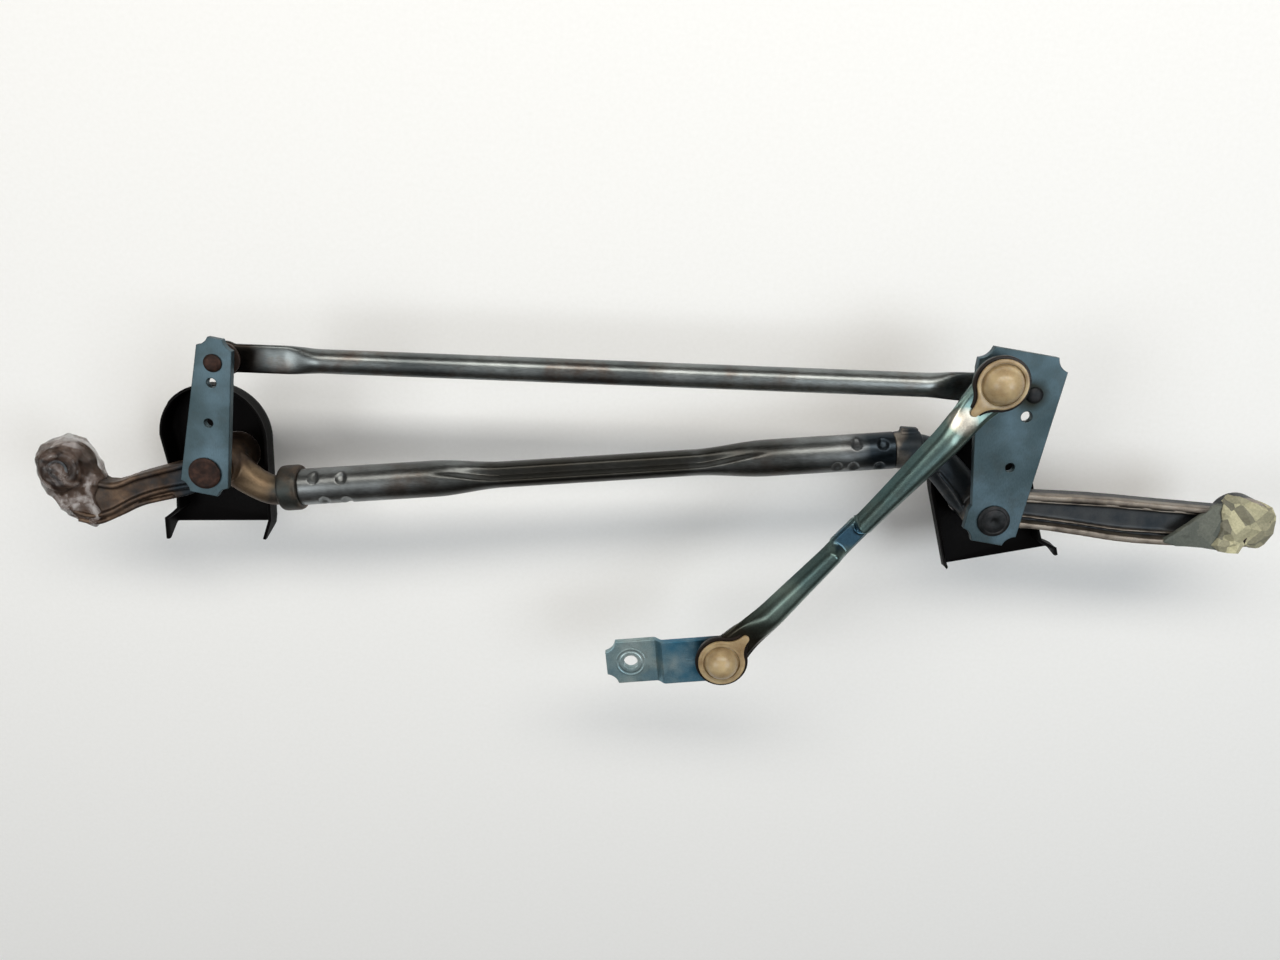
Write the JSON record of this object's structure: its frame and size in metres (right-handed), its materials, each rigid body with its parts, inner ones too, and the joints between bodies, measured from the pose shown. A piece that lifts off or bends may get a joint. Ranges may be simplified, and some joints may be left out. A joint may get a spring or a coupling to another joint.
{
  "type": "windshield wiper linkage",
  "caption": "Windshield wiper linkage: tubular frame with two pivot housings, shafts with levers, a connecting rod, and a drive link with the crank for a wiper motor.",
  "frame": {"origin": "bolt axis of the left mounting eye, at the level of the frame tube's axis", "axes": "+X from the left pivot to the right pivot; +Z along the pivot shafts towards the levers, so the wiper arm ends of the shafts point to -Z; +Y completes the frame, towards the connecting rod"},
  "size_m": [0.74, 0.2214, 0.1136],
  "materials": {
    "zinc_plated_steel": "zinc plated, blue passivated, dull",
    "steel_tube": "drawn and plated, satin",
    "cast_aluminium": "as cast",
    "shaft_steel": "turned, oiled, lightly rusted",
    "spring_steel": "phosphated",
    "bronze": "sintered",
    "natural_nylon": "moulded",
    "dark_nylon": "moulded",
    "shield_plastic": "moulded",
    "rubber": "moulded",
    "clear_film": "crumpled film",
    "masking_tape": "crumpled crepe paper tape"
  },
  "bodies": {
    "frame": {"frame_tube": "steel_tube", "left_pivot_housing": "cast_aluminium", "right_pivot_housing": "cast_aluminium", "left_upper_bush": "bronze", "left_lower_bush": "bronze", "right_upper_bush": "bronze", "right_lower_bush": "bronze", "left_eye_grommet": "rubber", "left_eye_sleeve": "spring_steel", "right_eye_grommet": "rubber", "right_eye_sleeve": "spring_steel", "left_rain_shield": "shield_plastic", "right_rain_shield": "shield_plastic", "left_packing_film": "clear_film", "right_packing_tape": "masking_tape"},
    "left_lever": {"left_lever_plate": "zinc_plated_steel", "left_pivot_shaft": "shaft_steel", "left_thrust_washer": "dark_nylon", "left_spring_washer": "spring_steel", "left_circlip": "spring_steel", "left_rod_rivet": "shaft_steel"},
    "right_lever": {"right_lever_plate": "zinc_plated_steel", "right_pivot_shaft": "shaft_steel", "right_thrust_washer": "dark_nylon", "right_spring_washer": "spring_steel", "right_circlip": "spring_steel", "right_rod_ball_stud": "shaft_steel", "drive_ball_stud": "shaft_steel"},
    "connecting_rod": {"connecting_rod": "steel_tube", "right_rod_socket": "dark_nylon", "left_rod_socket": "dark_nylon", "left_rod_ball_stud": "shaft_steel"},
    "drive_link": {"drive_link": "zinc_plated_steel", "upper_link_socket": "natural_nylon", "lower_link_socket": "natural_nylon"},
    "crank": {"motor_crank": "zinc_plated_steel", "crank_ball_stud": "shaft_steel"}
  },
  "joints": [
    {"name": "right_pivot", "type": "hinge", "parent": "frame", "child": "right_lever", "pos_m": [0.55, 0.009, 0], "axis": [0, 0, 1], "range_deg": [-36, 49]},
    {"name": "left_pivot", "type": "hinge", "parent": "frame", "child": "left_lever", "pos_m": [0.096, 0.009, 0], "axis": [0, 0, 1], "range_deg": [-41.5, 56.5]},
    {"name": "rod_ball_joint", "type": "hinge", "parent": "right_lever", "child": "connecting_rod", "pos_m": [0.56044, 0.08327, 0.008], "axis": [0, 0, 1], "range_deg": [-49.5, 36.5]},
    {"name": "drive_ball_joint", "type": "hinge", "parent": "right_lever", "child": "drive_link", "pos_m": [0.53788, 0.0901, 0.037], "axis": [0, 0, 1], "range_deg": [-90, 40]},
    {"name": "crank_ball_joint", "type": "hinge", "parent": "drive_link", "child": "crank", "pos_m": [0.40059, -0.08563, 0.037], "axis": [0, 0, 1], "continuous": true}
  ],
  "couplings": [
    {"joint": "left_pivot", "follows": "right_pivot", "ratio": 1.14},
    {"joint": "rod_ball_joint", "follows": "right_pivot", "ratio": -0.996}
  ]
}
